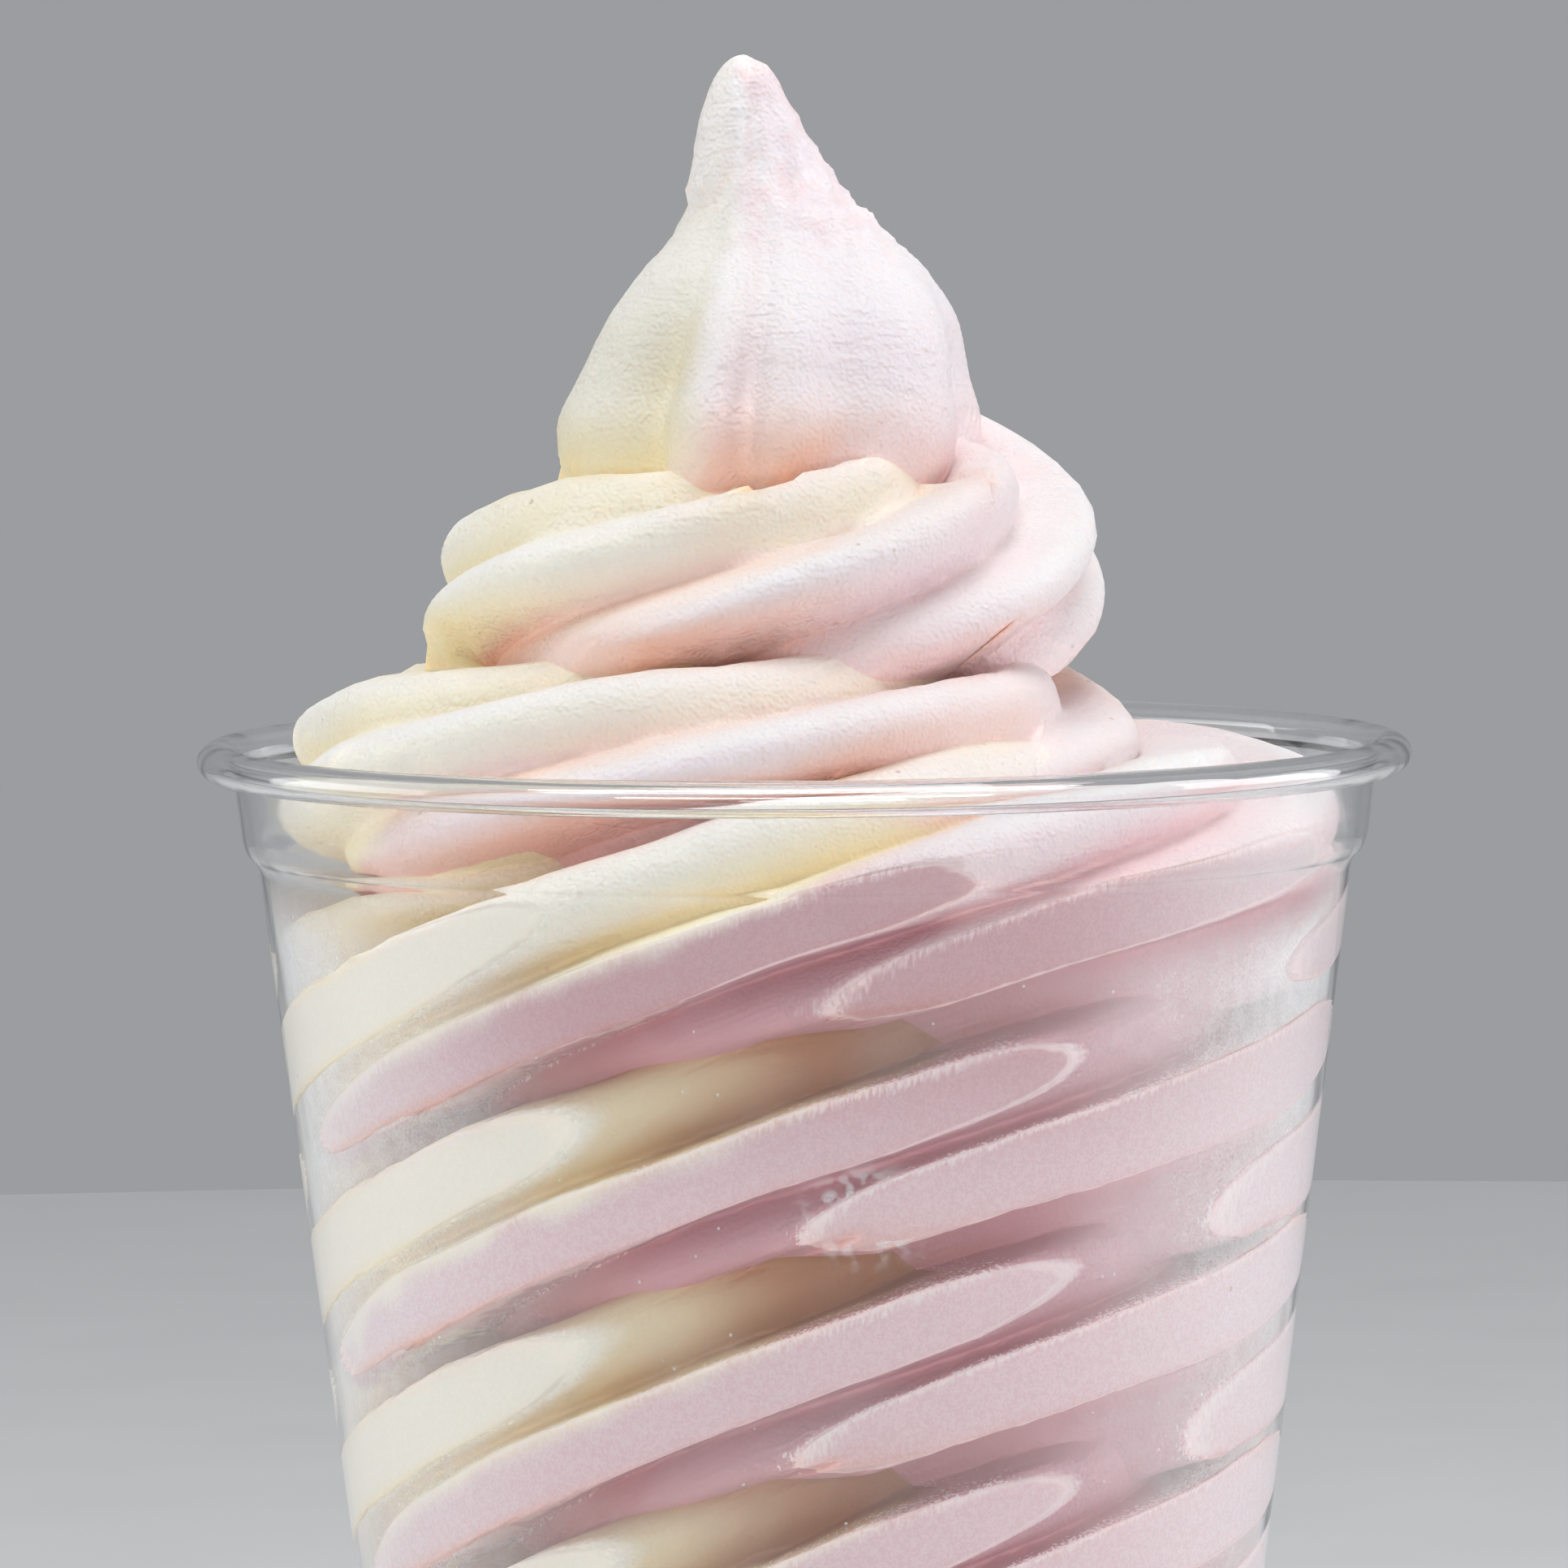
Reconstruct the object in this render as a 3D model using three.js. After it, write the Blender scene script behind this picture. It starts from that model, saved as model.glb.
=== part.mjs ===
// Soft serve cup: a thin clear cup filled with a coil of two-flavour soft serve that ends in a drawn peak.
// Millimetres, +Z up. The cup stands on z = 0 with its axis on the Z axis, front towards -Y, +X right.
import * as THREE from 'three';
import { ParametricGeometry } from 'three/addons/geometries/ParametricGeometry.js';
import { mergeVertices } from 'three/addons/utils/BufferGeometryUtils.js';

// Cup: a formed sheet of one thickness
const SHEET = 0.5;
const CUP_HEIGHT = 120;
const RIM_RADIUS = 49;
const BEAD_HALF_WIDTH = 1.4;
const BEAD_HALF_HEIGHT = 1.2;
const BEAD_CURL = 195;
const COLLAR_RADIUS = 45.2;
const COLLAR_FOOT = 112.2;
const SHOULDER_RADIUS = 43.9;
const SHOULDER_HEIGHT = 110.3;
const WALL_TAPER = Math.tan(THREE.MathUtils.degToRad(7.25));
const COLLAR_STEP = { inward: 0.35, down: 1 };
const HEEL_HEIGHT = 2.2;
const HEEL_BEND = { inward: 0.35, up: 0.75 };
const RING_INNER = 26.4;
const RING_OUTER = 28.4;
const PANEL_RADIUS = 24.6;
const PANEL_HEIGHT = 2.1;
const CUP_SEGMENTS = 48;
const BEAD_STEPS = 8;

// Soft serve: gap to the cup, and the floor it rests above
const FIT_GAP = 0.4;
const FLOOR_GAP = 0.3;
const SERVE_FLOOR = PANEL_HEIGHT + SHEET / 2 + FLOOR_GAP;

// Star nozzle: six lobes that keep their bearing while the cup is moved in circles under them
const LOBES = 6;
const LOBE_BEARING = THREE.MathUtils.degToRad(-40);
const GROOVE_SOFTNESS = 0.12;
const PEAK_SOFTNESS = 0.3;

// Coil of the rope, station by station: a whole turn number faces the front.
// height and reach place the rope's centre, wide and tall are its half sizes, groove is the lobe depth.
const COIL = [
  { turn: -0.4, height: 7.2, reach: 16.0, wide: 13.0, tall: 12.3, groove: 0.38 },
  { turn: 0, height: 14.2, reach: 20.8, wide: 14.2, tall: 12.3, groove: 0.40 },
  { turn: 2, height: 49.2, reach: 26.1, wide: 14.2, tall: 12.3, groove: 0.40 },
  { turn: 3, height: 66.7, reach: 28.2, wide: 14.2, tall: 12.3, groove: 0.40 },
  { turn: 4, height: 84.2, reach: 30.5, wide: 14.2, tall: 12.3, groove: 0.40 },
  { turn: 5, height: 101.7, reach: 32.0, wide: 14.2, tall: 12.0, groove: 0.38 },
  { turn: 5.25, height: 107.8, reach: 31.6, wide: 13.5, tall: 11.0, groove: 0.33 },
  { turn: 5.5, height: 112.0, reach: 31.0, wide: 13.0, tall: 10.2, groove: 0.28 },
  { turn: 5.75, height: 116.4, reach: 29.8, wide: 13.0, tall: 10.0, groove: 0.22 },
  { turn: 6, height: 118.2, reach: 25.0, wide: 13.0, tall: 10.0, groove: 0.33 },
  { turn: 6.25, height: 116.4, reach: 15.5, wide: 12.8, tall: 10.2, groove: 0.27 },
  { turn: 6.5, height: 123.0, reach: 15.5, wide: 12.8, tall: 10.4, groove: 0.26 },
  { turn: 6.75, height: 130.8, reach: 18.2, wide: 12.6, tall: 10.5, groove: 0.23 },
  { turn: 7, height: 132.4, reach: 15.6, wide: 12.6, tall: 10.5, groove: 0.36 },
  { turn: 7.25, height: 133.9, reach: 12.6, wide: 12.2, tall: 10.6, groove: 0.31 },
  { turn: 7.5, height: 143.0, reach: 7.6, wide: 11.0, tall: 9.8, groove: 0.22 },
  { turn: 7.75, height: 148.0, reach: 1.5, wide: 9.0, tall: 7.0, groove: 0.15 },
];
const COIL_START = COIL[0].turn;
const COIL_END = COIL[COIL.length - 1].turn;
const COIL_TAPER = 0.12;
const ROPE_NEAR = 15;
// In the cup the turns lean up towards the front right and are lifted in front; this dies out at the collar.
const COIL_LEAN = 4;
const LEAN_PHASE = 0.5;
const FRONT_LIFT = 2;
const LIFT_BEARING = THREE.MathUtils.degToRad(-75);
const LIFT_SHARPNESS = 2.5;
const CUP_ENDS = 5.45;
const CUP_FADE = 0.35;
// There the rope is pressed wider aside than in front, and the right lobe lies closer to the front one.
const FRONT_LOBE = THREE.MathUtils.degToRad(-100);
const WIDER_ASIDE = 0.047;
const CLOSER_LOBE = THREE.MathUtils.degToRad(-46);
const CLOSER_BY = THREE.MathUtils.degToRad(12);
const CLOSER_SHARPNESS = 6;
// The right lobe comes off the wall to the left of this bearing.
const LOOSE_FROM = THREE.MathUtils.degToRad(-82);
const LOOSE_FADE = THREE.MathUtils.degToRad(12);
const LOOSE_DEPTH = 0.2;
// The turn just above the rim is twisted a little in front, which lifts its lobes there.
const TWIST = THREE.MathUtils.degToRad(20);
const TWIST_TURN = 6;
const TWIST_FADE = 0.28;

// Peak: a drawn dome on a leaning axis
const PEAK = [
  { height: 132.0, radius: 10.0, offset: -2.6 },
  { height: 138.5, radius: 15.0, offset: -2.6 },
  { height: 141.5, radius: 17.2, offset: -2.6 },
  { height: 145.0, radius: 17.6, offset: -2.5 },
  { height: 149.0, radius: 16.4, offset: -2.2 },
  { height: 153.4, radius: 14.8, offset: -1.6 },
  { height: 157.3, radius: 12.0, offset: -1.4 },
  { height: 160.0, radius: 9.2, offset: -1.6 },
  { height: 165.2, radius: 5.6, offset: -2.8 },
  { height: 170.5, radius: 3.2, offset: -3.6 },
  { height: 174.1, radius: 1.8, offset: -4.3 },
  { height: 175.0, radius: 0.0, offset: -4.5 },
];
const PEAK_GROOVE = 0.13;
const PEAK_GROOVE_ENDS = 171;
const PEAK_GROOVE_FADE = 22;
// Two creases beside a narrow rib on its front
const PEAK_CREASES = [
  { bearing: THREE.MathUtils.degToRad(-127), depth: 0.05 },
  { bearing: THREE.MathUtils.degToRad(-97), depth: 0.11 },
];
const PEAK_CREASE_WIDTH = THREE.MathUtils.degToRad(6);

// Fold: the pulled-off end of the rope, draped down the left of the peak
const FOLD_FOOT = 161.2;
const FOLD_LENGTH = 13.8;
const FOLD_RADIUS = 3.75;
const FOLD_TIP_RADIUS = 1.2;
const FOLD_OFFSET = -6.1;
const FOLD_LEAN = 1.6;
const FOLD_FORWARD = -1.6;

// Heart: what the turns close over
const HEART = [
  { height: 0, radius: 20 },
  { height: 20, radius: 21 },
  { height: 100, radius: 31 },
  { height: 110, radius: 29 },
  { height: 118, radius: 20 },
  { height: 128, radius: 15 },
  { height: 140, radius: 11 },
  { height: 147, radius: 2 },
  { height: 150, radius: -9 },
];
const UNEVENNESS = 0.35;
const EVEN_ABOVE = 172;
const EVEN_FADE = 10;

// Surface net: rows follow the turns of the coil and columns lean along the lobes.
// It starts in the middle of the floor and ends at the tip, both counted in turns.
const COLUMNS = 100;
const ROWS_PER_TURN = 6;
const COLUMN_LEAN = 0.2;
const NET_START = -1;
const NET_END = 9.625;
const MARCH_STEPS = 90;
const HALVINGS = 14;
// Depth given to places that are too far from a piece to lie in it
const FAR_OUTSIDE = -99;

const wallInside = (height) => SHOULDER_RADIUS - SHEET / 2 - (SHOULDER_HEIGHT - height) * WALL_TAPER;
const wallFit = (height) => wallInside(height) - FIT_GAP;
const collarFit = COLLAR_RADIUS - SHEET / 2 - FIT_GAP;

// Far ends of the net's lines (reach, height) and the spine points they are cast from (offset, heart)
const NET = [
  { turn: NET_START, reach: 0, height: SERVE_FLOOR, offset: 0, heart: SERVE_FLOOR + 9 },
  { turn: -0.62, reach: wallFit(SERVE_FLOOR), height: SERVE_FLOOR, offset: 0, heart: SERVE_FLOOR + 4 },
  { turn: 4.5, reach: wallFit(93), height: 93, offset: 0, heart: 92 },
  { turn: 5.1, reach: wallFit(102.4), height: 102.4, offset: 0, heart: 98 },
  { turn: 5.38, reach: wallFit(110.2), height: 110.2, offset: 0, heart: 101.5 },
  { turn: 5.47, reach: collarFit, height: 112.6, offset: 0, heart: 102 },
  { turn: 5.75, reach: collarFit, height: 118.5, offset: 0, heart: 102.5 },
  { turn: 6.25, reach: 44, height: 123, offset: 0, heart: 104 },
  { turn: 6.75, reach: 36, height: 133.5, offset: 0, heart: 114 },
  { turn: 7.25, reach: 30, height: 139, offset: -1, heart: 121 },
  { turn: 7.5, reach: 26, height: 147, offset: -2, heart: 130 },
  { turn: 7.75, reach: 24, height: 152, offset: -2, heart: 136 },
  { turn: 8.1, reach: 20, height: 156, offset: -2, heart: 142 },
  { turn: 8.5, reach: 14, height: 161.5, offset: -1.8, heart: 150 },
  { turn: 9, reach: 8, height: 170, offset: -2.8, heart: 158 },
  { turn: 9.4, reach: 4, height: 176, offset: -3.9, heart: 167 },
  { turn: NET_END, reach: 0, height: 177, offset: -4.5, heart: 171 },
];

// Smooth curve through stations that never overshoots them
function curveThrough(stations, along, key) {
  const x = stations.map((station) => station[along]);
  const y = stations.map((station) => station[key]);
  const last = x.length - 1;
  const rise = (i) => (y[i + 1] - y[i]) / (x[i + 1] - x[i]);
  const slope = y.map((value, i) => {
    if (i === 0) return rise(0);
    if (i === last) return rise(last - 1);
    const before = rise(i - 1);
    const after = rise(i);
    return before * after <= 0 ? 0 : (2 * before * after) / (before + after);
  });
  return (at) => {
    const place = THREE.MathUtils.clamp(at, x[0], x[last]);
    let i = 0;
    while (i < last - 1 && place > x[i + 1]) i += 1;
    const span = x[i + 1] - x[i];
    const u = (place - x[i]) / span;
    const w = 1 - u;
    return w * w * ((1 + 2 * u) * y[i] + u * span * slope[i])
      + u * u * ((3 - 2 * u) * y[i + 1] - w * span * slope[i + 1]);
  };
}

// Straight runs between stations
function runThrough(stations, along, key) {
  return (at) => {
    let i = 0;
    while (i < stations.length - 2 && at > stations[i + 1][along]) i += 1;
    const from = stations[i];
    const to = stations[i + 1];
    const u = THREE.MathUtils.clamp((at - from[along]) / (to[along] - from[along]), 0, 1);
    return THREE.MathUtils.lerp(from[key], to[key], u);
  };
}

const coilHeight = curveThrough(COIL, 'turn', 'height');
const coilReach = curveThrough(COIL, 'turn', 'reach');
const coilWide = curveThrough(COIL, 'turn', 'wide');
const coilTall = curveThrough(COIL, 'turn', 'tall');
const coilGroove = curveThrough(COIL, 'turn', 'groove');
const peakRadius = curveThrough(PEAK, 'height', 'radius');
const peakOffset = curveThrough(PEAK, 'height', 'offset');
const heartRadius = runThrough(HEART, 'height', 'radius');
const netReach = runThrough(NET, 'turn', 'reach');
const netHeight = runThrough(NET, 'turn', 'height');
const netOffset = runThrough(NET, 'turn', 'offset');
const netHeart = runThrough(NET, 'turn', 'heart');

const share = (value) => THREE.MathUtils.clamp(value, 0, 1);

// 1 on the crest of a lobe, 0 in the groove between two
function lobe(bearing, softness) {
  const wave = Math.cos((LOBES / 2) * (bearing - LOBE_BEARING));
  const full = Math.sqrt(1 + softness * softness) - softness;
  return (Math.sqrt(wave * wave + softness * softness) - softness) / full;
}

function unevenness(x, y, z) {
  const first = Math.sin(0.31 * x + 0.12 * y + 0.27 * z + 0.4);
  const second = Math.sin(-0.15 * x + 0.29 * y - 0.22 * z + 2.1);
  const third = Math.sin(0.09 * x - 0.21 * y + 0.34 * z + 4);
  return (UNEVENNESS * (first + second + third)) / 3;
}

// 1 where the rope lies in the cup, 0 above its collar
const inCup = (turn) => share((CUP_ENDS - turn) / CUP_FADE);

// 1 on the right lobe, falling off to its sides
const onRightLobe = (nozzle) => Math.exp(CLOSER_SHARPNESS * (Math.cos(nozzle - CLOSER_LOBE) - 1));

function coilLean(bearing, turn) {
  const lean = COIL_LEAN * Math.sin(bearing + Math.PI - LEAN_PHASE);
  const lift = FRONT_LIFT * Math.exp(LIFT_SHARPNESS * (Math.cos(bearing - LIFT_BEARING) - 1));
  return (lean + lift) * inCup(turn);
}

function frontTwist(turn) {
  const away = THREE.MathUtils.clamp((turn - TWIST_TURN) / TWIST_FADE, -1, 1);
  return TWIST * Math.cos((Math.PI / 2) * away) ** 2;
}

// How deep a point lies in one turn of the rope
function insideRope(turn, bearing, radius, z) {
  const up = z - coilHeight(turn) - coilLean(bearing, turn);
  if (Math.abs(up) > ROPE_NEAR) return FAR_OUTSIDE;
  const wide = coilWide(turn);
  const tall = coilTall(turn);
  const outX = (radius - coilReach(turn)) / wide;
  const outZ = up / tall;
  const nozzle = bearing - Math.atan2(outZ, outX) + frontTwist(turn);
  const pressed = inCup(turn);
  const right = onRightLobe(nozzle) * pressed;
  const crest = lobe(nozzle + CLOSER_BY * right, GROOVE_SOFTNESS);
  const wider = WIDER_ASIDE * pressed * Math.sin(bearing - FRONT_LOBE) ** 2;
  const loose = LOOSE_DEPTH * right * share((LOOSE_FROM - bearing) / LOOSE_FADE);
  const section = 1 + wider - loose - coilGroove(turn) * (1 - crest);
  const taper = 0.5 + 0.5 * share((COIL_END - turn) / COIL_TAPER);
  return (section * taper - Math.hypot(outX, outZ)) * 0.5 * (wide + tall);
}

function insidePeak(x, y, z) {
  if (z < PEAK[0].height || z > PEAK[PEAK.length - 1].height) return FAR_OUTSIDE;
  const dx = x - peakOffset(z);
  const bearing = Math.atan2(y, dx);
  let groove = PEAK_GROOVE * (1 - lobe(bearing, PEAK_SOFTNESS));
  for (const crease of PEAK_CREASES) {
    const away = (bearing - crease.bearing) / PEAK_CREASE_WIDTH;
    groove += crease.depth * Math.exp(-away * away);
  }
  const drawn = share((PEAK_GROOVE_ENDS - z) / PEAK_GROOVE_FADE);
  return peakRadius(z) * (1 - groove * drawn) - Math.hypot(dx, y);
}

function insideFold(x, y, z) {
  const up = (z - FOLD_FOOT) / FOLD_LENGTH;
  if (up < 0 || up > 1) return FAR_OUTSIDE;
  const skirt = FOLD_RADIUS * Math.sqrt(1 - (1 - up) ** 12) * (1 - up) ** 0.55;
  const tip = FOLD_TIP_RADIUS * up * Math.sqrt(1 - up ** 8);
  const dx = x - FOLD_OFFSET - FOLD_LEAN * up;
  const dy = y - FOLD_FORWARD * (1 - up);
  return skirt + tip - Math.hypot(dx, dy);
}

// Depth below the surface, above zero inside the soft serve
function insideServe(x, y, z) {
  const radius = Math.hypot(x, y);
  const bearing = Math.atan2(y, x);
  const turn = bearing / (2 * Math.PI) + 0.25;
  let depth = Math.max(insidePeak(x, y, z), insideFold(x, y, z), heartRadius(z) - radius);
  for (let pass = -1; turn + pass <= COIL_END; pass += 1) {
    if (turn + pass < COIL_START) continue;
    depth = Math.max(depth, insideRope(turn + pass, bearing, radius, z));
  }
  return depth + unevenness(x, y, z) * share((EVEN_ABOVE - z) / EVEN_FADE);
}

// Outermost surface point on the line from the spine to the far end of a net point
function servePoint(u, v, target) {
  const line = THREE.MathUtils.lerp(NET_START * (1 - COLUMN_LEAN) - 1, NET_END * (1 - COLUMN_LEAN), v);
  const turn = THREE.MathUtils.clamp((u + line) / (1 - COLUMN_LEAN), NET_START, NET_END);
  const bearing = 2 * Math.PI * (u + COLUMN_LEAN * turn - 0.25);
  const lean = coilLean(bearing, turn) * share(turn + 0.6);
  const spine = new THREE.Vector3(netOffset(turn), 0, netHeart(turn) + lean);
  const reach = netReach(turn) + lean * WALL_TAPER;
  const height = netHeight(turn) + lean;
  const far = new THREE.Vector3(spine.x + reach * Math.cos(bearing), reach * Math.sin(bearing), height);
  const moveTo = (part) => target.copy(spine).lerp(far, part);
  const inside = (part) => {
    moveTo(part);
    return insideServe(target.x, target.y, target.z) > 0;
  };
  if (inside(1)) return;
  let out = 1;
  let back = 1;
  for (let step = MARCH_STEPS - 1; step >= 0; step -= 1) {
    back = step / MARCH_STEPS;
    if (inside(back)) break;
    out = back;
  }
  for (let half = 0; half < HALVINGS; half += 1) {
    const middle = (out + back) / 2;
    if (inside(middle)) back = middle;
    else out = middle;
  }
  moveTo(back);
}

// Middle line of the cup's sheet from the centre of its floor out and up to the end of the rolled rim
function cupMiddleLine() {
  const half = SHEET / 2;
  const wallAt = (height) => SHOULDER_RADIUS - (SHOULDER_HEIGHT - height) * WALL_TAPER;
  const line = [
    new THREE.Vector2(0, PANEL_HEIGHT),
    new THREE.Vector2(PANEL_RADIUS, PANEL_HEIGHT),
    new THREE.Vector2(RING_INNER, half),
    new THREE.Vector2(RING_OUTER, half),
    new THREE.Vector2(wallAt(HEEL_HEIGHT) - HEEL_BEND.inward, half + HEEL_BEND.up),
    new THREE.Vector2(wallAt(HEEL_HEIGHT), half + HEEL_HEIGHT),
    new THREE.Vector2(wallAt(SHOULDER_HEIGHT), SHOULDER_HEIGHT),
    new THREE.Vector2(COLLAR_RADIUS - COLLAR_STEP.inward, COLLAR_FOOT - COLLAR_STEP.down),
    new THREE.Vector2(COLLAR_RADIUS, COLLAR_FOOT),
  ];
  const beadRadius = RIM_RADIUS - half - BEAD_HALF_WIDTH;
  const beadHeight = CUP_HEIGHT - half - BEAD_HALF_HEIGHT;
  for (let step = 0; step <= BEAD_STEPS; step += 1) {
    const turn = THREE.MathUtils.degToRad(180 - (BEAD_CURL + 90) * (step / BEAD_STEPS));
    const r = beadRadius + BEAD_HALF_WIDTH * Math.cos(turn);
    line.push(new THREE.Vector2(r, beadHeight + BEAD_HALF_HEIGHT * Math.sin(turn)));
  }
  return line;
}

// Both faces of a sheet that follows a middle line, as one outline out along one and back along the other
function sheetOutline(line, thickness) {
  const normals = [];
  for (let i = 0; i < line.length - 1; i += 1) {
    const along = line[i + 1].clone().sub(line[i]).normalize();
    normals.push(new THREE.Vector2(along.y, -along.x));
  }
  const face = (side) => line.map((point, i) => {
    const before = normals[Math.max(i - 1, 0)];
    const after = normals[Math.min(i, normals.length - 1)];
    const mitre = before.clone().add(after).normalize();
    return point.clone().addScaledVector(mitre, (side * thickness) / 2 / mitre.dot(after));
  });
  return [...face(1), ...face(-1).reverse()];
}

// One closed skin: shared corners joined, slivers at the poles dropped
function closedSkin(source) {
  const bare = new THREE.BufferGeometry();
  bare.setAttribute('position', source.getAttribute('position'));
  bare.setIndex(source.getIndex());
  const joined = mergeVertices(bare, 1e-3);
  const index = joined.getIndex().array;
  const kept = [];
  for (let i = 0; i < index.length; i += 3) {
    const [a, b, c] = [index[i], index[i + 1], index[i + 2]];
    if (a !== b && b !== c && c !== a) kept.push(a, b, c);
  }
  joined.setIndex(kept);
  joined.computeVertexNormals();
  return joined;
}

function cup() {
  const outline = sheetOutline(cupMiddleLine(), SHEET);
  const turned = new THREE.LatheGeometry(outline, CUP_SEGMENTS);
  turned.rotateX(Math.PI / 2);
  const material = new THREE.MeshStandardMaterial({ color: 0xe9eef0, roughness: 0.08, metalness: 0 });
  material.transparent = true;
  material.opacity = 0.3;
  const mesh = new THREE.Mesh(closedSkin(turned), material);
  mesh.name = 'cup';
  return mesh;
}

function softServe() {
  const rows = Math.round(((NET_END - NET_START) * (1 - COLUMN_LEAN) + 1) * ROWS_PER_TURN);
  const net = new ParametricGeometry(servePoint, COLUMNS, rows);
  const material = new THREE.MeshStandardMaterial({ color: 0xf1dedc, roughness: 0.6, metalness: 0 });
  const mesh = new THREE.Mesh(closedSkin(net), material);
  mesh.name = 'soft_serve';
  return mesh;
}

const part = new THREE.Group();
part.name = 'soft_serve_cup';
part.add(cup(), softServe());

export default part;
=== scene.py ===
"""Soft serve cup: a clear cup with a rolled rim, filled with a coiled twist of cream and pink soft serve.

Forms are worked out in millimetres from the part's own sizes and turned into metres where meshes are made.
"""
import math

import bpy
import numpy as np
from mathutils import Matrix, Vector, noise


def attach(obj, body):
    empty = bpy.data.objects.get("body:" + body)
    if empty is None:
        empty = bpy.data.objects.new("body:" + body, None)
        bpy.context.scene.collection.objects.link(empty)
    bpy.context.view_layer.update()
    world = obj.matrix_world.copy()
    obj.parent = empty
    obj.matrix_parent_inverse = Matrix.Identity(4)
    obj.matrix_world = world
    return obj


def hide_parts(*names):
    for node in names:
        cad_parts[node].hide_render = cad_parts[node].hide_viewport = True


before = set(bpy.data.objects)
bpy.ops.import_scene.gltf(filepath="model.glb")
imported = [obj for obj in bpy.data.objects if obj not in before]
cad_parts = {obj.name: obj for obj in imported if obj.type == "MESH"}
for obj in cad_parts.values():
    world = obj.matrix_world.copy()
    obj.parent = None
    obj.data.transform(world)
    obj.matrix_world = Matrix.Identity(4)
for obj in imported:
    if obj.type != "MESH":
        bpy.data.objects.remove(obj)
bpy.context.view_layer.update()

MM = 0.001

# Cup: a formed sheet of one thickness
SHEET = 0.5
CUP_HEIGHT = 120
RIM_RADIUS = 49
BEAD_HALF_WIDTH = 1.4
BEAD_HALF_HEIGHT = 1.2
BEAD_CURL = 195
COLLAR_RADIUS = 45.2
COLLAR_FOOT = 112.2
SHOULDER_RADIUS = 43.9
SHOULDER_HEIGHT = 110.3
WALL_TAPER = math.tan(math.radians(7.25))
COLLAR_STEP_IN = 0.35
COLLAR_STEP_DOWN = 1
HEEL_HEIGHT = 2.2
HEEL_BEND_IN = 0.35
HEEL_BEND_UP = 0.75
RING_INNER = 26.4
RING_OUTER = 28.4
PANEL_RADIUS = 24.6
PANEL_HEIGHT = 2.1
CUP_SEGMENTS = 240
BEND_STEPS = 6
BEAD_STEPS = 30

# Soft serve: how far it is pressed into the wall's skin, and the gap under it
PRESSED_IN = 0.12
FLOOR_GAP = 0.3
SERVE_FLOOR = PANEL_HEIGHT + SHEET / 2 + FLOOR_GAP

# Star nozzle: its lobes keep their bearing while the cup is moved in circles under them
LOBES = 6
LOBE_BEARING = math.radians(-40)
GROOVE_SOFTNESS = 0.12
PEAK_SOFTNESS = 0.3

# Coil of the rope: turn, height and reach of its centre, half width, half height, lobe depth
COIL = np.array([
    (-0.4, 7.2, 16.0, 13.0, 12.3, 0.38),
    (0, 14.2, 20.8, 14.2, 12.3, 0.40),
    (2, 49.2, 26.1, 14.2, 12.3, 0.40),
    (3, 66.7, 28.2, 14.2, 12.3, 0.40),
    (4, 84.2, 30.5, 14.2, 12.3, 0.40),
    (5, 101.7, 32.0, 14.2, 12.0, 0.38),
    (5.25, 107.8, 31.6, 13.5, 11.0, 0.33),
    (5.5, 112.0, 31.0, 13.0, 10.2, 0.28),
    (5.75, 116.4, 29.8, 13.0, 10.0, 0.22),
    (6, 118.2, 25.0, 13.0, 10.0, 0.33),
    (6.25, 116.4, 15.5, 12.8, 10.2, 0.27),
    (6.5, 123.0, 15.5, 12.8, 10.4, 0.26),
    (6.75, 130.8, 18.2, 12.6, 10.5, 0.23),
    (7, 132.4, 15.6, 12.6, 10.5, 0.36),
    (7.25, 133.9, 12.6, 12.2, 10.6, 0.31),
    (7.5, 143.0, 7.6, 11.0, 9.8, 0.22),
    (7.75, 148.0, 1.5, 9.0, 7.0, 0.15),
])
COIL_START = COIL[0, 0]
COIL_END = COIL[-1, 0]
COIL_TAPER = 0.12
COIL_TAPERS_TO = 0.5
ROPE_NEAR = 15
# Turns are counted from the front, a quarter turn before the x axis, in these passes round the cup
FRONT = 0.25
PASSES = range(-1, 9)
# In the cup the turns lean up towards the front right and are lifted in front; this dies out at the collar
COIL_LEAN = 4
LEAN_PHASE = 0.5
FRONT_LIFT = 2.0
LIFT_BEARING = math.radians(-75)
LIFT_SHARPNESS = 2.5
CUP_ENDS = 5.45
CUP_FADE = 0.35
# There the rope is wider at the sides than in front, and its right lobe lies closer to the front one
FRONT_LOBE = math.radians(-100)
WIDER_ASIDE = 0.047
CLOSER_LOBE = math.radians(-46)
CLOSER_BY = math.radians(12)
CLOSER_SHARPNESS = 6
# The right lobe comes off the wall to the left of this bearing
LOOSE_FROM = math.radians(-82)
LOOSE_FADE = math.radians(12)
LOOSE_DEPTH = 0.2

# The turn just above the rim is twisted a little in front, which lifts its lobes there
TWIST = math.radians(20)
TWIST_TURN = 6
TWIST_FADE = 0.28

# Peak: a drawn dome on a leaning axis, as height, radius, sideways offset
PEAK = np.array([
    (132.0, 10.0, -2.6),
    (138.5, 15.0, -2.6),
    (141.5, 17.2, -2.6),
    (145.0, 17.6, -2.5),
    (149.0, 16.4, -2.2),
    (153.4, 14.8, -1.6),
    (157.3, 12.0, -1.4),
    (160.0, 9.2, -1.6),
    (165.2, 5.6, -2.8),
    (170.5, 3.2, -3.6),
    (174.1, 1.8, -4.3),
    (175.0, 0.0, -4.5),
])
PEAK_GROOVE = 0.13
PEAK_GROOVE_ENDS = 171
PEAK_GROOVE_FADE = 22
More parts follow.
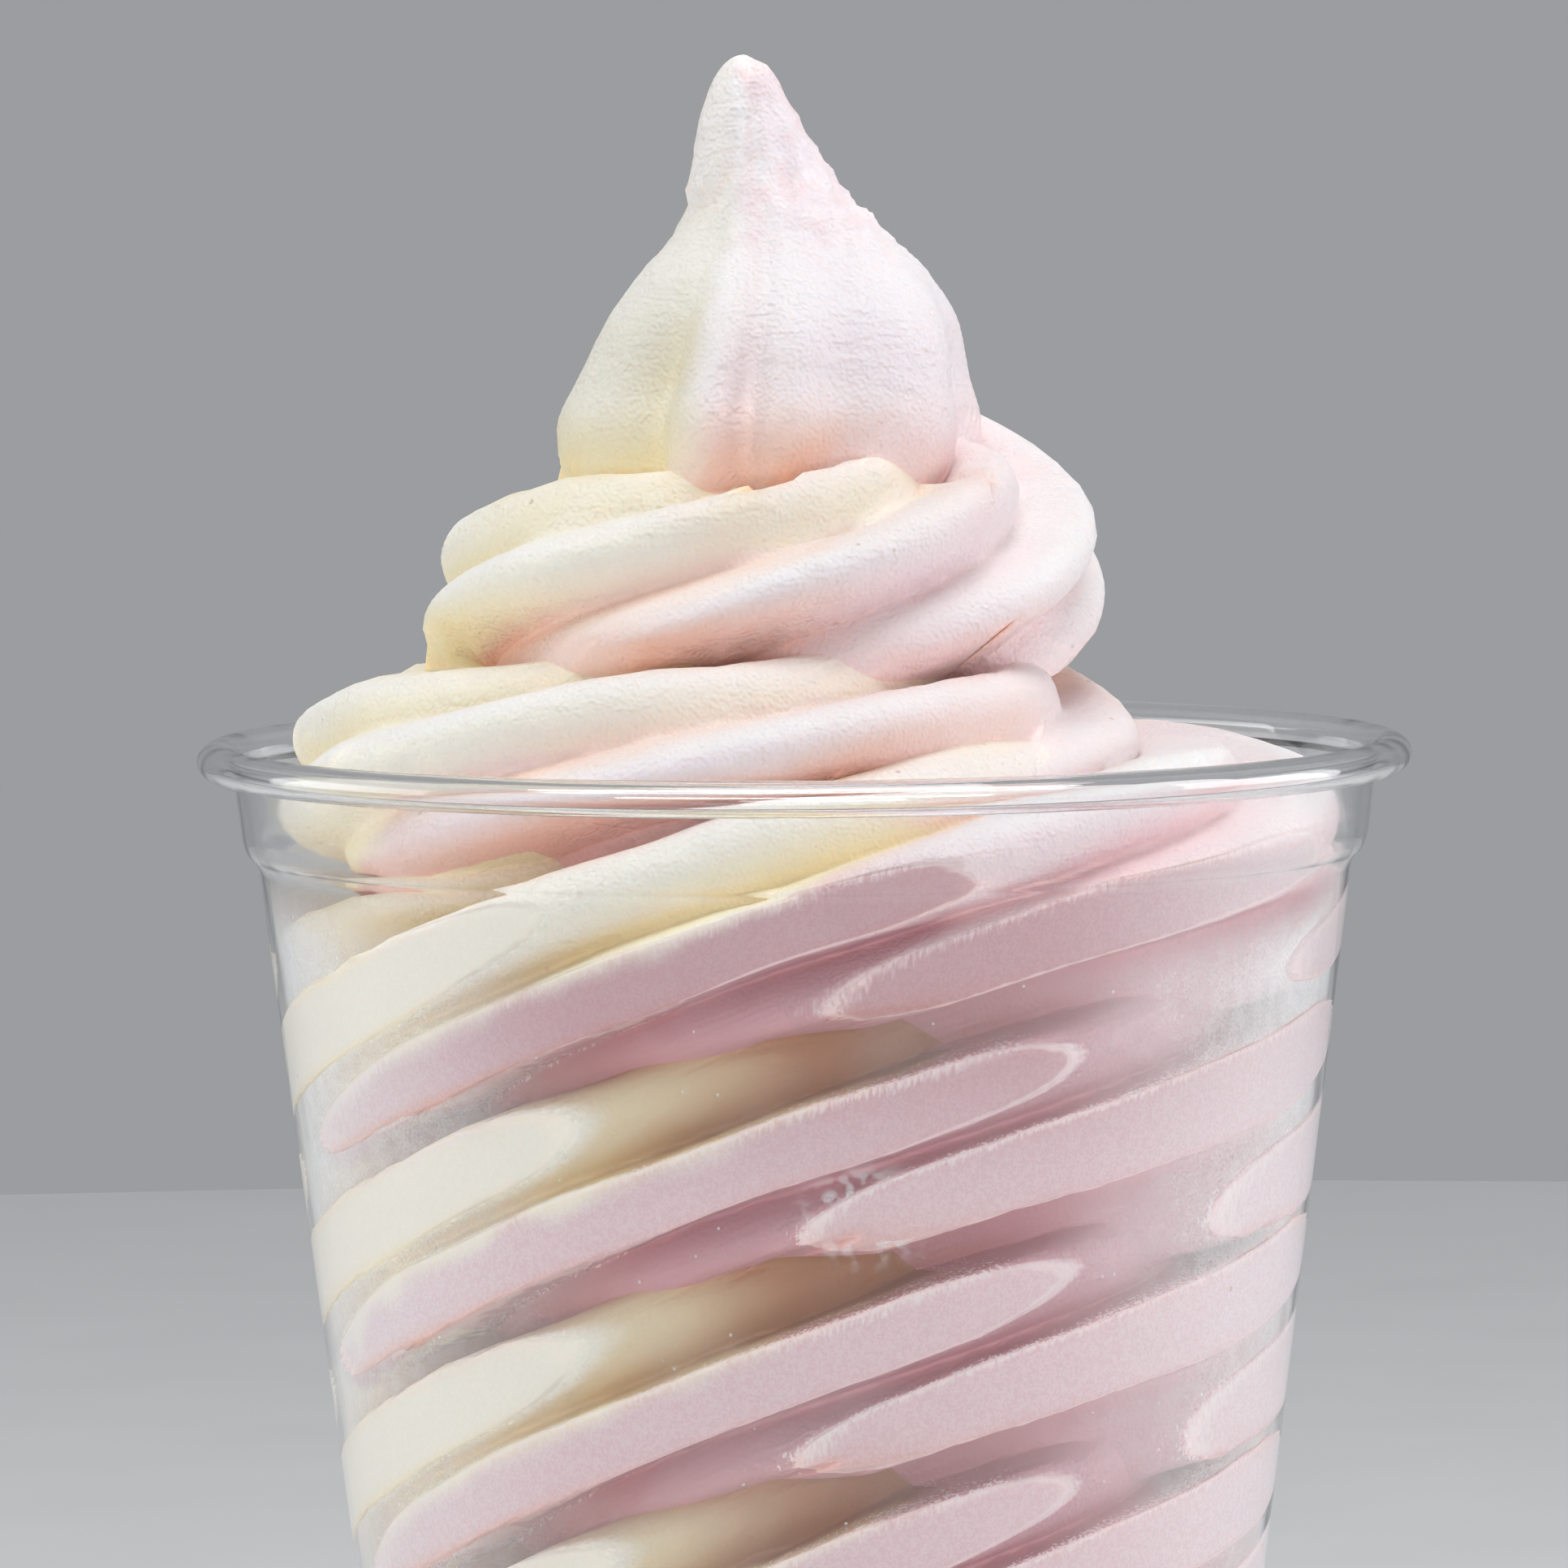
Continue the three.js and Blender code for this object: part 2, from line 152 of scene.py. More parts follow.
# Two creases beside a narrow rib on its front, as bearing and depth
PEAK_CREASES = ((math.radians(-127), 0.05), (math.radians(-97), 0.11))
PEAK_CREASE_WIDTH = math.radians(6)
RIB_SHADE = math.radians(-102)

# Fold: the pulled-off end of the rope, draped down the left of the peak
FOLD_FOOT = 161.2
FOLD_LENGTH = 13.8
FOLD_RADIUS = 3.75
FOLD_TIP_RADIUS = 1.2
FOLD_OFFSET = -6.1
FOLD_LEAN = 1.6
FOLD_FORWARD = -1.6
FOLD_FOOT_ROUNDING = 12
FOLD_SLIMMING = 0.55
FOLD_TIP_ROUNDING = 8

# Heart: what the turns close over, as height and radius
HEART = np.array([
    (0, 20), (20, 21), (100, 31), (110, 29), (118, 20), (128, 15), (140, 11), (147, 2), (150, -9),
])
UNEVENNESS = 0.35
EVEN_ABOVE = 172
EVEN_FADE = 10

# Surface net: rows follow the turns of the coil and columns lean along the lobes
COLUMNS = 420
ROWS_PER_TURN = 26
COLUMN_LEAN = 0.2
NET_START = -1
NET_END = 9.625
NET_LEAN_FROM = -0.6
MARCH_STEPS = 90
HALVINGS = 14
CREASE_HALVINGS = 7
JUST_INSIDE = 0.999
HEART_LAYER = -2
PEAK_LAYER = 20
FOLD_LAYER = 21


def wall_inside(height):
    return SHOULDER_RADIUS - SHEET / 2 - (SHOULDER_HEIGHT - height) * WALL_TAPER


COLLAR_INSIDE = COLLAR_RADIUS - SHEET / 2
# Net lines as turn, reach and height of their far end, offset and height of the spine point they start from
NET = np.array([
    (NET_START, 0, SERVE_FLOOR, 0, SERVE_FLOOR + 9),
    (-0.62, wall_inside(SERVE_FLOOR) + PRESSED_IN, SERVE_FLOOR, 0, SERVE_FLOOR + 4),
    (4.5, wall_inside(93) + PRESSED_IN, 93, 0, 92),
    (5.1, wall_inside(102.4) + PRESSED_IN, 102.4, 0, 98),
    (5.38, wall_inside(110.2) + PRESSED_IN, 110.2, 0, 101.5),
    (5.47, COLLAR_INSIDE + PRESSED_IN, 112.6, 0, 102),
    (5.75, COLLAR_INSIDE + PRESSED_IN, 118.5, 0, 102.5),
    (6.25, 44, 123, 0, 104),
    (6.75, 36, 133.5, 0, 114),
    (7.25, 30, 139, -1, 121),
    (7.5, 26, 147, -2, 130),
    (7.75, 24, 152, -2, 136),
    (8.1, 20, 156, -2, 142),
    (8.5, 14, 161.5, -1.8, 150),
    (9, 8, 170, -2.8, 158),
    (9.4, 4, 176, -3.9, 167),
    (NET_END, 0, 177, -4.5, 171),
])

# Flavours: cream lies between two bearings of the nozzle, pink in the rest; the second changes with height
CREAM_FROM = 45
CREAM_TO = np.array([(104, 243), (111, 249), (113, 249), (116, 227), (136, 227), (143, 243)])

# Shelter, which sets the painted bounce light and shade: how far each place looks out for other turns, in
# millimetres
SHELTER_REACHES = (1.5, 4, 8)
# Its looks, as tilt and turn in degrees, and a direction to count those turns from
SHELTER_LOOKS = (
    (0, 0), (40, 0), (40, 90), (40, 180), (40, 270), (70, 45), (70, 135), (70, 225), (70, 315),
)
SHELTER_GUIDE = (0.31, 0.2, 0.93)
# How often the result is levelled out
SHELTER_LEVELLING = 6

# Painted shade deepens the colour in recesses between the pads, and fades out below the collar
RECESS_TOP = 109
RECESS_FADE = 9

# Relief of the frozen skin
RIPPLE_SIZE = 5.0
RIPPLE_HEIGHT = 0.10
CRUMB_SIZE = 1.5
CRUMB_HEIGHT = 0.08
# The tip tore off the nozzle and is crumblier, most so on its right
TORN_FROM = 156
TORN_FADE = 6
TORN_TIMES = 8
TORN_LEFT = 0.3
TORN_MIDDLE = 4
# The relief fades out where the skin comes this near to the wall, and up to this height at the tip
PRESS_FADE = 0.4
RELIEF_ENDS = 174
# Limit to the press on the wall that the finish reads
PRESS_KEPT = 4

# Frost on the inside of the wall: its reach up the wall, and a smear left by the rope
FROST_TOP = 109.6
FROST_FOOT = 6
FROST_ROWS = 24
FROST_CLEARANCE = 0.15
FROST_DEPTH = 0.04
SMEAR_CENTRE = (4.6, -40.4, 85.6)
SMEAR_SIZE = (6.4, 6.4, 5.0)

# Camera, from the photograph: pixels per millimetre on the cup's axis and where the rim's centre lies
PHOTO_SIZE = 1932
PIXELS_PER_MM = 15.265
RIM_PIXEL = (991, 923.5)
RIM_CENTRE_HEIGHT = 119
CAMERA_DISTANCE = 1000
CAMERA_ELEVATION = math.radians(4.3)
CAMERA_ROLL = math.radians(-0.47)
SENSOR_WIDTH = 36

# Stage, in millimetres
FLOOR_RADIUS = 780
FLOOR_SEGMENTS = 128
# Lights as name, place, size, watts and the point they shine at
LIGHTS = (
    ("overhead", (40, -120, 860), (480, 420), 3.5, (0, 0, 130)),
    ("left_side", (-640, 60, 100), (520, 520), 1.75, (0, 0, 80)),
    ("right_side", (640, 60, 120), (520, 520), 2.0, (0, 0, 80)),
    ("front_fill", (60, -1100, 40), (600, 240), 2.75, (0, 0, 90)),
)
# Strips of light that only the cup mirrors
STRIPS = (
    ("high_strip", (0, -350, 900), (1400, 160), 18, (0, 0, 120)),
    ("low_strip", (0, -1000, 425), (1400, 160), 11, (0, 0, 120)),
)


def curve_through(stations, column, samples=4000):
    """Smooth curve through stations that never overshoots them."""
    x = stations[:, 0]
    y = stations[:, column]
    rise = np.diff(y) / np.diff(x)
    turns_back = rise[:-1] * rise[1:] <= 0
    mean = 2 * rise[:-1] * rise[1:] / np.where(turns_back, 1, rise[:-1] + rise[1:])
    slope = np.concatenate([rise[:1], np.where(turns_back, 0, mean), rise[-1:]])
    at = np.linspace(x[0], x[-1], samples)
    i = np.clip(np.searchsorted(x, at) - 1, 0, len(x) - 2)
    span = x[i + 1] - x[i]
    u = (at - x[i]) / span
    w = 1 - u
    start = w * w * ((1 + 2 * u) * y[i] + u * span * slope[i])
    end = u * u * ((3 - 2 * u) * y[i + 1] - w * span * slope[i + 1])
    return lambda value: np.interp(value, at, start + end)


coil_height, coil_reach, coil_wide, coil_tall, coil_groove = (curve_through(COIL, n) for n in range(1, 6))
peak_radius, peak_offset = (curve_through(PEAK, n) for n in (1, 2))


def share(value):
    return np.clip(value, 0, 1)


def lobe(bearing, softness):
    """1 on the crest of a lobe, 0 in the groove between two."""
    wave = np.cos(LOBES / 2 * (bearing - LOBE_BEARING))
    full = math.sqrt(1 + softness ** 2) - softness
    return (np.sqrt(wave ** 2 + softness ** 2) - softness) / full


def unevenness(x, y, z):
    """Slow waves, in millimetres, that keep the form from being too even."""
    first = np.sin(0.31 * x + 0.12 * y + 0.27 * z + 0.4)
    second = np.sin(-0.15 * x + 0.29 * y - 0.22 * z + 2.1)
    third = np.sin(0.09 * x - 0.21 * y + 0.34 * z + 4)
    return UNEVENNESS * (first + second + third) / 3


def in_cup(turn):
    return share((CUP_ENDS - turn) / CUP_FADE)


def coil_lean(bearing, turn):
    lean = COIL_LEAN * np.sin(bearing + math.pi - LEAN_PHASE)
    lift = FRONT_LIFT * np.exp(LIFT_SHARPNESS * (np.cos(bearing - LIFT_BEARING) - 1))
    return (lean + lift) * in_cup(turn)


def on_right_lobe(nozzle):
    return np.exp(CLOSER_SHARPNESS * (np.cos(nozzle - CLOSER_LOBE) - 1))


def drawn_closer(nozzle):
    """The bearing that a place of the rope would have with even lobes."""
    return nozzle + CLOSER_BY * on_right_lobe(nozzle)


def depth_in_rope(turn, bearing, radius, up):
    """How deep places lie in the rope, and the bearing of the nozzle lobe there."""
    wide = coil_wide(turn)
    tall = coil_tall(turn)
    out_x = (radius - coil_reach(turn)) / wide
    out_z = up / tall
    twist = TWIST * np.cos(math.pi / 2 * np.clip((turn - TWIST_TURN) / TWIST_FADE, -1, 1)) ** 2
    nozzle = bearing - np.arctan2(out_z, out_x) + twist
    pressed = in_cup(turn)
    crest = lobe(nozzle + (drawn_closer(nozzle) - nozzle) * pressed, GROOVE_SOFTNESS)
    wider = WIDER_ASIDE * pressed * np.sin(bearing - FRONT_LOBE) ** 2
    loose = LOOSE_DEPTH * pressed * on_right_lobe(nozzle) * share((LOOSE_FROM - bearing) / LOOSE_FADE)
    section = 1 + wider - loose - coil_groove(turn) * (1 - crest)
    taper = COIL_TAPERS_TO + (1 - COIL_TAPERS_TO) * share((COIL_END - turn) / COIL_TAPER)
    return (section * taper - np.hypot(out_x, out_z)) * 0.5 * (wide + tall), nozzle


def depth_in_peak(x, y, z):
    dx = x - peak_offset(z)
    nozzle = np.arctan2(y, dx)
    drawn = share((PEAK_GROOVE_ENDS - z) / PEAK_GROOVE_FADE)
    groove = PEAK_GROOVE * (1 - lobe(nozzle, PEAK_SOFTNESS))
    for bearing, depth in PEAK_CREASES:
        groove = groove + depth * np.exp(-((nozzle - bearing) / PEAK_CREASE_WIDTH) ** 2)
    section = 1 - groove * drawn
    return peak_radius(z) * section - np.hypot(dx, y), nozzle


def depth_in_fold(x, y, z):
    up = (z - FOLD_FOOT) / FOLD_LENGTH
    down = 1 - up
    skirt = FOLD_RADIUS * np.sqrt(1 - down ** FOLD_FOOT_ROUNDING) * down ** FOLD_SLIMMING
    tip = FOLD_TIP_RADIUS * up * np.sqrt(1 - up ** FOLD_TIP_ROUNDING)
    dx = x - FOLD_OFFSET - FOLD_LEAN * up
    dy = y - FOLD_FORWARD * down
    return skirt + tip - np.hypot(dx, dy), np.arctan2(y, x - peak_offset(z))


def depth_in_serve(x, y, z):
    """Depth below the surface, above zero inside, the nozzle bearing and the layer's number."""
    radius = np.hypot(x, y)
    bearing = np.arctan2(y, x)
    first_turn = bearing / (2 * math.pi) + FRONT
    depth = np.interp(z, HEART[:, 0], HEART[:, 1]) - radius
    nozzle = bearing.copy()
    layer = np.full(len(z), HEART_LAYER)

    def lay_over(where, laid, number):
        over = laid[0] > depth[where]
        depth[where[over]] = laid[0][over]
        nozzle[where[over]] = laid[1][over]
        layer[where[over]] = number

    for passed in PASSES:
        turn = first_turn + passed
        up = z - coil_height(turn) - coil_lean(bearing, turn)
        near = np.flatnonzero((turn >= COIL_START) & (turn <= COIL_END) & (np.abs(up) < ROPE_NEAR))
        lay_over(near, depth_in_rope(turn[near], bearing[near], radius[near], up[near]), passed)
    near = np.flatnonzero((z > PEAK[0, 0]) & (z < PEAK[-1, 0]))
    lay_over(near, depth_in_peak(x[near], y[near], z[near]), PEAK_LAYER)
    near = np.flatnonzero((z > FOLD_FOOT) & (z < FOLD_FOOT + FOLD_LENGTH))
    lay_over(near, depth_in_fold(x[near], y[near], z[near]), FOLD_LAYER)
    return depth + unevenness(x, y, z) * share((EVEN_ABOVE - z) / EVEN_FADE), nozzle, layer


def net_turns():
    """Column and turn of every net line, row by row, and the point numbers of the closed net's corners."""
    low = NET_START * (1 - COLUMN_LEAN) - 1
    high = NET_END * (1 - COLUMN_LEAN)
    rows = round((high - low) * ROWS_PER_TURN)
    u = np.arange(COLUMNS)[None, :] / COLUMNS
    along = (u + np.linspace(low, high, rows + 1)[:, None]) / (1 - COLUMN_LEAN)
    turn = np.clip(along, NET_START, NET_END)
    number = np.arange(turn.size).reshape(turn.shape)
    foot, tip = turn.size, turn.size + 1
    number = np.where(along <= NET_START, foot, np.where(along >= NET_END, tip, number))
    seam = np.full(rows + 1, tip)
    seam[:rows + 1 - ROWS_PER_TURN] = number[ROWS_PER_TURN:, 0]
    number = np.concatenate([number, seam[:, None]], 1)
    return np.broadcast_to(u, turn.shape), turn, number


def net_lines(u, turn):
    """Start and end of the net lines of those columns at those turns."""
    bearing = 2 * math.pi * (u + COLUMN_LEAN * turn - FRONT)
    lean = coil_lean(bearing, turn) * share(turn - NET_LEAN_FROM)
    reach, height, offset, heart = (np.interp(turn, NET[:, 0], NET[:, n]) for n in range(1, 5))
    reach = reach + lean * WALL_TAPER
    start = np.stack([offset, np.zeros_like(offset), heart + lean], -1)
    end = np.stack([offset + reach * np.cos(bearing), reach * np.sin(bearing), height + lean], -1)
    return start, end


def cast(start, end):
    """Share of each line, from its start, at which it leaves the soft serve, and the depth at its end."""
    span = end - start
    out = np.ones(len(start))
    back = np.ones(len(start))
    at_end = depth_in_serve(*end.T)[0]
    outside = np.flatnonzero(at_end <= 0)
    for step in range(MARCH_STEPS - 1, -1, -1):
        back[outside] = step / MARCH_STEPS
        probe = start[outside] + span[outside] * (step / MARCH_STEPS)
        outside = outside[depth_in_serve(*probe.T)[0] <= 0]
        out[outside] = step / MARCH_STEPS
        if len(outside) == 0:
            break
    for _ in range(HALVINGS):
        middle = (out + back) / 2
        inside = depth_in_serve(*(start + span * middle[:, None]).T)[0] > 0
        out = np.where(inside, out, middle)
        back = np.where(inside, middle, back)
    return np.where(at_end > 0, 1, back), at_end


def surface_at(u, turn):
    """Surface points on the net lines, how far past the wall they would reach, nozzle bearing and layer."""
    start, end = net_lines(u, turn)
    reached, press = cast(start, end)
    just_inside = start + (end - start) * (reached * JUST_INSIDE)[:, None]
    _, nozzle, layer = depth_in_serve(*just_inside.T)
    return np.column_stack([start + (end - start) * reached[:, None], press, nozzle, layer])


def apart(first, second):
    return np.linalg.norm(first - second, axis=-1)


def slide_to_creases(u, turn, surface):
    """Moves the two net lines on either side of each border between layers right up to that border."""
    layer = surface[:, -1].reshape(u.shape)
    border = np.zeros((len(u), COLUMNS), bool)
    border[1:] = layer[1:] != layer[:-1]
    border[2:] &= ~border[1:-1]
    above = np.flatnonzero(border)
    pair = np.stack([above - COLUMNS, above])
    at = turn.ravel()[pair]
    across = np.arange(len(above))
    for _ in range(CREASE_HALVINGS):
        middle = at.mean(0)
        found = surface_at(u.ravel()[above], middle)
        side = (found[:, -1] != surface[pair[0], -1]).astype(int)
        at[side, across] = middle
        surface[pair[side, across]] = found
    return surface


def corner_normals(points, triangles):
    a, b, c = (points[triangles[:, n]] for n in range(3))
    faces = np.cross(b - a, c - a)
    normals = np.zeros_like(points)
    for n in range(3):
        np.add.at(normals, triangles[:, n], faces)
    return normals / np.maximum(np.linalg.norm(normals, axis=1, keepdims=True), 1e-12)


def smoothed(values, triangles):
    """Rows of point values, levelled out over the neighbours of each point."""
    here = triangles.ravel()
    there = np.roll(triangles, -1, 1).ravel()

    def neighbour_sum(row):
        return np.bincount(here, row[there], len(row)) + np.bincount(there, row[here], len(row))

    count = neighbour_sum(np.ones(values.shape[1]))
    for _ in range(SHELTER_LEVELLING):
        values = np.stack([neighbour_sum(row) / count for row in values])
    return values


def cream_edge(nozzle, z):
    """Degrees inside the cream's share of the nozzle, below zero in the pink's."""
    degrees = np.degrees(nozzle) % 360
    return np.minimum(degrees - CREAM_FROM, np.interp(z, CREAM_TO[:, 0], CREAM_TO[:, 1]) - degrees)


def room_beside(x, y, z):
    """Millimetres from places in the cup out to its wall."""
    return np.where(z < COLLAR_FOOT, wall_inside(z), COLLAR_INSIDE) - np.hypot(x, y)


def shelter(points, normals):
    """Shares of each place's outlook that other turns close off, in cream and in pink."""
    aside = np.cross(normals, SHELTER_GUIDE)
    aside = aside / np.linalg.norm(aside, axis=1, keepdims=True)
    across = np.cross(normals, aside)
    closed = np.zeros((2, len(points)))
    for tilt, turn in np.radians(SHELTER_LOOKS):
        flat = math.cos(turn) * aside + math.sin(turn) * across
        look = math.cos(tilt) * normals + math.sin(tilt) * flat
        hidden = np.zeros(len(points), bool)
        for reach in SHELTER_REACHES:
            x, y, z = (points + look * reach).T
            depth, nozzle, _ = depth_in_serve(x, y, z)
            met = (depth > 0) & (room_beside(x, y, z) > 0) & ~hidden
            closed[0] += met & (cream_edge(nozzle, z) > 0)
            closed[1] += met & (cream_edge(nozzle, z) <= 0)
            hidden |= met
    return closed / len(SHELTER_LOOKS)


def skin_relief(points):
    """Ripples and crumbs of the frozen skin, in millimetres."""
    x, _, z = points.T
    right = share((x - peak_offset(z)) / TORN_MIDDLE + 0.5)
    side = TORN_LEFT + (1 - TORN_LEFT) * right
    torn = 1 + TORN_TIMES * share((z - TORN_FROM) / TORN_FADE) * side
    height = np.empty(len(points))
    for n, point in enumerate(points):
        spot = Vector(point)
        ripple = RIPPLE_HEIGHT * noise.noise(spot / RIPPLE_SIZE)
        crumb = CRUMB_HEIGHT * noise.noise(spot / CRUMB_SIZE)
        height[n] = ripple + crumb * torn[n]
    return height


def closed_triangles(number, points):
    """Triangles of the closed net, its cells cut along the shorter diagonal, without the collapsed ones."""
    corners = (number[:-1, :-1], number[:-1, 1:], number[1:, 1:], number[1:, :-1])
    a, b, c, d = (corner.ravel() for corner in corners)
    straight = apart(points[b], points[d]) <= apart(points[a], points[c])
    first = np.stack([a, b, np.where(straight, d, c)], 1)
    second = np.stack([np.where(straight, b, a), c, d], 1)
    triangles = np.concatenate([first, second])
    return triangles[(triangles != np.roll(triangles, 1, 1)).all(1)]


def serve_surface():
    """Points, triangles, the measures along the surface that its finish reads, and normals."""
    u, turn, number = net_turns()
    surface = slide_to_creases(u, turn, surface_at(u.ravel(), turn.ravel()))
    foot_and_tip = [(0, 0, SERVE_FLOOR, 0, 0, 0), (PEAK[-1, 2], 0, PEAK[-1, 0], 0, 0, 0)]
    surface = np.concatenate([surface, foot_and_tip])
    used, triangles = np.unique(closed_triangles(number, surface[:, :3]), return_inverse=True)
    triangles = triangles.reshape(-1, 3)
    points = surface[used, :3]
    press, nozzle, layer = surface[used, 3:].T
    free = share(-press / PRESS_FADE) * share((RELIEF_ENDS - points[:, 2]) / EVEN_FADE)
    normals = corner_normals(points, triangles)
    cream_shelter, pink_shelter = smoothed(shelter(points, normals), triangles)
    points = points + normals * (skin_relief(points) * free)[:, None]
    in_crease = np.exp(-((nozzle - RIB_SHADE) / PEAK_CREASE_WIDTH) ** 2)
    measures = {
        "cream_edge": cream_edge(nozzle, points[:, 2]),
        "recess": room_beside(*points.T) * share((RECESS_TOP - points[:, 2]) / RECESS_FADE),
        "cream_shelter": cream_shelter,
        "pink_shelter": pink_shelter,
        "press": np.clip(press, -PRESS_KEPT, PRESS_KEPT),
        "rib_shade": (layer == PEAK_LAYER) * in_crease,
        "upper_flank": -np.sin(LOBES * (drawn_closer(nozzle) - LOBE_BEARING)),
        "upward": normals[:, 2],
    }
    return points, triangles.tolist(), measures, corner_normals(points, triangles).tolist()


def make_piece(name, points, faces, measures=None, normals=None):
    """A smooth mesh object, in metres, from millimetre points, with its measures as point attributes."""
    mesh = bpy.data.meshes.new(name)
    mesh.from_pydata((np.asarray(points) * MM).tolist(), [], faces)
    mesh.shade_smooth()
    if normals:
        mesh.normals_split_custom_set_from_vertices(normals)
    for key, values in (measures or {}).items():
        attribute = mesh.attributes.new(key, "FLOAT", "POINT")
        attribute.data.foreach_set("value", np.asarray(values, np.float32))
    piece = bpy.data.objects.new(name, mesh)
    bpy.context.scene.collection.objects.link(piece)
    return piece


def rounded(line, corner, size):
    """The line with the corner at that place turned into a short bend."""
    before, at, after = (np.array(line[corner + n], float) for n in (-1, 0, 1))
    enter = at + (before - at) / np.linalg.norm(before - at) * size
    leave = at + (after - at) / np.linalg.norm(after - at) * size
    u = np.linspace(0, 1, BEND_STEPS)[:, None]
    bend = (1 - u) ** 2 * enter + 2 * u * (1 - u) * at + u ** 2 * leave
    return line[:corner] + [tuple(point) for point in bend] + line[corner + 1:]


def cup_middle_line():
    """Middle line of the cup's sheet, from the centre of its floor to the end of the rolled rim."""
    half = SHEET / 2
    bead_radius = RIM_RADIUS - half - BEAD_HALF_WIDTH
    bead_height = CUP_HEIGHT - half - BEAD_HALF_HEIGHT

    def wall_at(height):
        return SHOULDER_RADIUS - (SHOULDER_HEIGHT - height) * WALL_TAPER

    # Corners as radius, height and the size of the bend there
    corners = [
        (0, PANEL_HEIGHT, 0),
        (PANEL_RADIUS, PANEL_HEIGHT, 0.7),
        (RING_INNER, half, 0.7),
        (RING_OUTER, half, 0.5),
        (wall_at(HEEL_HEIGHT) - HEEL_BEND_IN, half + HEEL_BEND_UP, 0.35),
        (wall_at(HEEL_HEIGHT), half + HEEL_HEIGHT, 0.6),
        (wall_at(SHOULDER_HEIGHT), SHOULDER_HEIGHT, 0.7),
        (COLLAR_RADIUS - COLLAR_STEP_IN, COLLAR_FOOT - COLLAR_STEP_DOWN, 0.45),
        (COLLAR_RADIUS, COLLAR_FOOT, 0.5),
        (bead_radius - BEAD_HALF_WIDTH, bead_height, 0),
    ]
    line = [corner[:2] for corner in corners]
    for n in range(len(corners) - 2, 0, -1):
        line = rounded(line, n, corners[n][2])
    curl = np.radians(np.linspace(180, -90 - (BEAD_CURL - 180), BEAD_STEPS + 1)[1:])
    bead = np.column_stack([np.cos(curl) * BEAD_HALF_WIDTH, np.sin(curl) * BEAD_HALF_HEIGHT])
    return np.concatenate([line, bead + (bead_radius, bead_height)])


def sheet_faces(line):
    """The outer and inner face of the sheet that follows a middle line."""
    along = np.diff(line, axis=0)
    along = along / np.linalg.norm(along, axis=1, keepdims=True)
    normal = np.stack([along[:, 1], -along[:, 0]], 1)
    before = np.concatenate([normal[:1], normal])
    after = np.concatenate([normal, normal[-1:]])
    mitre = before + after
    mitre = mitre / np.linalg.norm(mitre, axis=1, keepdims=True)
    step = mitre * (SHEET / 2 / np.sum(mitre * after, 1))[:, None]
    return line + step, line - step


def rings(outline, segments):
    """Points of an outline's rings round the axis, and their numbers, ring by ring."""
    angle = 2 * math.pi * np.arange(segments) / segments
    circle = np.stack([np.cos(angle), np.sin(angle)], 1)
    points = [np.column_stack([circle * radius, np.full(segments, height)]) for radius, height in outline]
    return np.concatenate(points), np.arange(len(outline) * segments).reshape(len(outline), segments)


def quads_between(ring, next_ring):
    """Quads between rings of points and the rings that come next along the outline."""
    corners = (ring, np.roll(ring, -1, 1), np.roll(next_ring, -1, 1), next_ring)
    return np.stack(corners, -1).reshape(-1, 4).tolist()


def turned(outline, segments):
    """Points and faces of an outline turned round the axis; it starts and ends on the axis."""
    points, number = rings(outline[1:-1], segments)
    first, last = len(points), len(points) + 1
    points = np.concatenate([points, [(0, 0, outline[0][1]), (0, 0, outline[-1][1])]])
    after = np.roll(number, -1, 1).tolist()
    number_list = number.tolist()
    caps = [(first, b, a) for a, b in zip(number_list[0], after[0])]
    caps += [(last, a, b) for a, b in zip(number_list[-1], after[-1])]
    return points, quads_between(number[:-1], number[1:]) + caps


def frost_film():
    """Points and faces of the thin closed film of frost inside the wall."""
    heights = np.linspace(FROST_FOOT, FROST_TOP, FROST_ROWS)
    radii = wall_inside(heights) - FROST_CLEARANCE
    outer = np.column_stack([radii, heights])
    inner = np.column_stack([radii - FROST_DEPTH, heights])
    points, number = rings(np.concatenate([outer, inner[::-1]]), CUP_SEGMENTS)
    return points, quads_between(number, np.roll(number, -1, 0))


def place(tree, kind, inputs=None, **settings):
    """A node with its settings made and its inputs set or joined."""
    node = tree.nodes.new(kind)
    for key, value in settings.items():
        setattr(node, key, value)
    for key, value in (inputs or {}).items():
        if isinstance(value, bpy.types.NodeSocket):
            tree.links.new(value, node.inputs[key])
        else:
            node.inputs[key].default_value = value
    return node


def work(tree, operation, *values, limit=False):
    inputs = dict(enumerate(values))
    return place(tree, "ShaderNodeMath", inputs, operation=operation, use_clamp=limit).outputs[0]


def product(tree, first, *others):
    for other in others:
        first = work(tree, "MULTIPLY", first, other)
    return first


def total(tree, first, *others):
    for other in others:
        first = work(tree, "ADD", first, other)
    return first


def swing(tree, value, middle, size):
    """Goes to both sides of zero as the value goes to both sides of its middle."""
    return product(tree, work(tree, "SUBTRACT", value, middle), size)


def ease(tree, value, low, high, first=0.0, second=1.0):
    """Goes smoothly from first to second as the value goes from low to high."""
    inputs = {"Value": value, "From Min": low, "From Max": high, "To Min": first, "To Max": second}
    node = place(tree, "ShaderNodeMapRange", inputs, interpolation_type="SMOOTHSTEP")
    return node.outputs["Result"]


def ramp(tree, coordinate, span, first=0.0, second=1.0):
    """Goes smoothly from first to second over a span in millimetres."""
    low, high = span
    return ease(tree, coordinate, low * MM, high * MM, first, second)


def tint(tree, factor, first, second, kind="MIX"):
    inputs = {0: factor, 6: first, 7: second}
    return place(tree, "ShaderNodeMix", inputs, data_type="RGBA", blend_type=kind).outputs[2]


def measure(tree, name):
    return place(tree, "ShaderNodeAttribute", attribute_name=name).outputs["Fac"]


